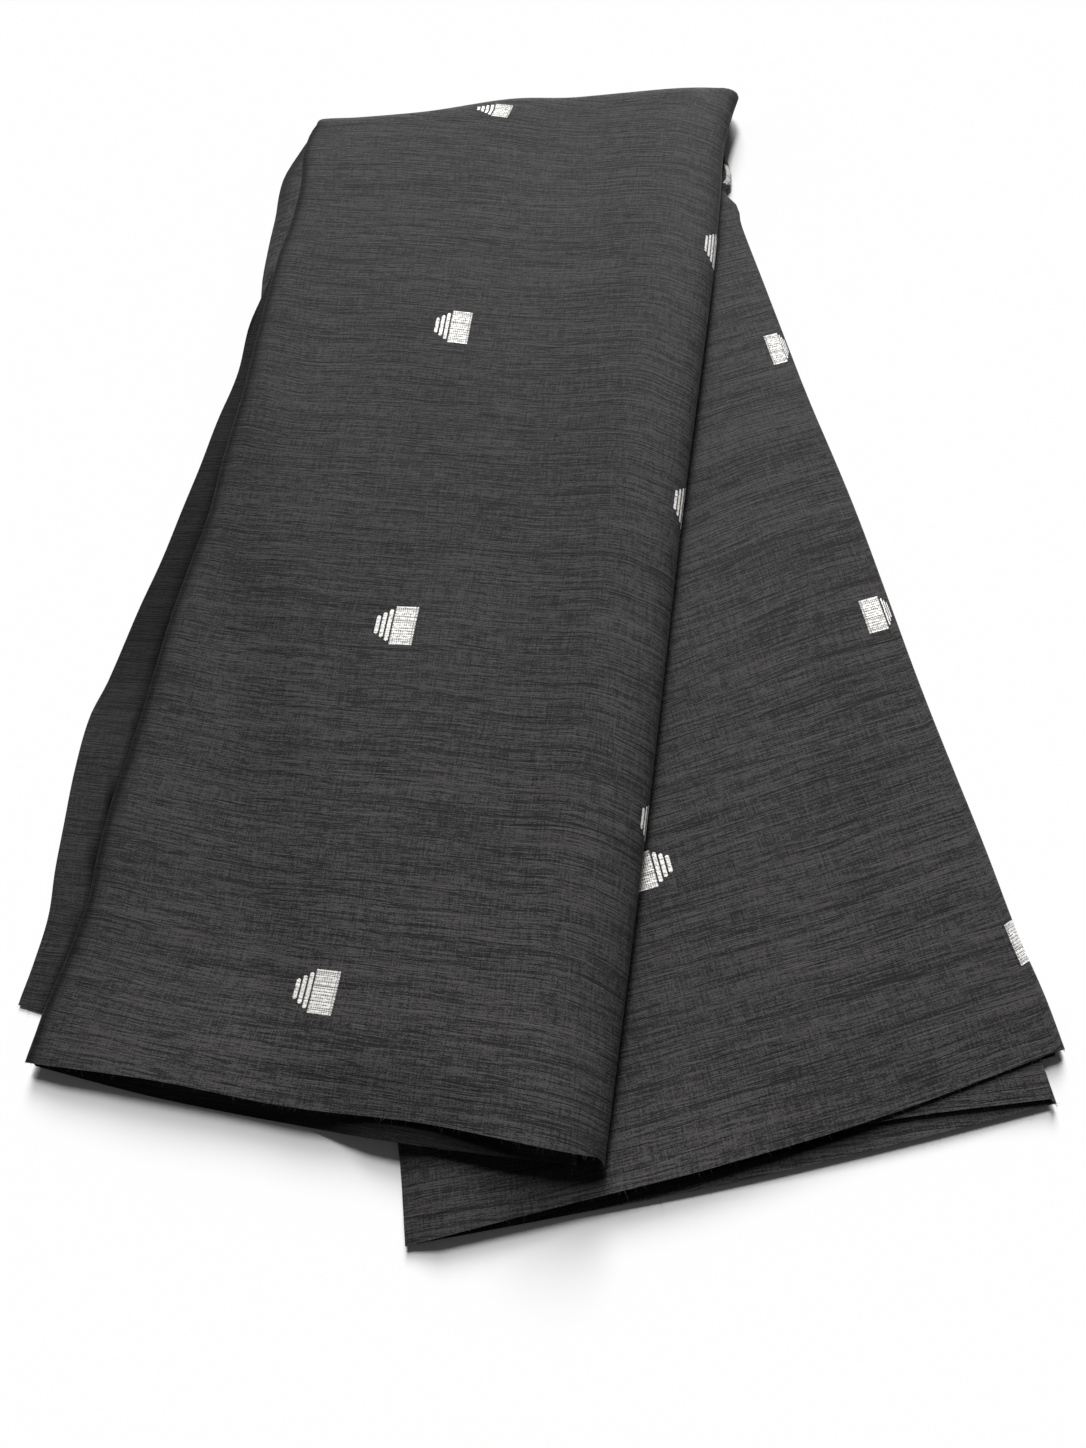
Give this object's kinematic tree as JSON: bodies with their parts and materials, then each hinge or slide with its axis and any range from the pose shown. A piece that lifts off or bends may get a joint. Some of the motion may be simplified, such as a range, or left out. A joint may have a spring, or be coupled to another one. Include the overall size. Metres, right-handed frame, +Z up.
{
  "type": "folded length of jamdani fabric",
  "caption": "Cut length of handwoven jamdani cloth with inlaid metallic butis, folded lengthwise and across, its legs fanned and laid flat.",
  "frame": {"origin": "on the resting surface, under the middle of the part's box", "axes": "+Z up from the resting surface, +Y along the upper leg from its cut end towards the crosswise fold, +X to the right across the cloth"},
  "size_m": [0.483, 0.6456, 0.0198],
  "materials": {
    "fabric": "matte charcoal slub weave with black and grey weft streaks and inlaid silver metallic butis"
  },
  "bodies": {
    "root": {"cloth": "fabric"}
  },
  "joints": []
}
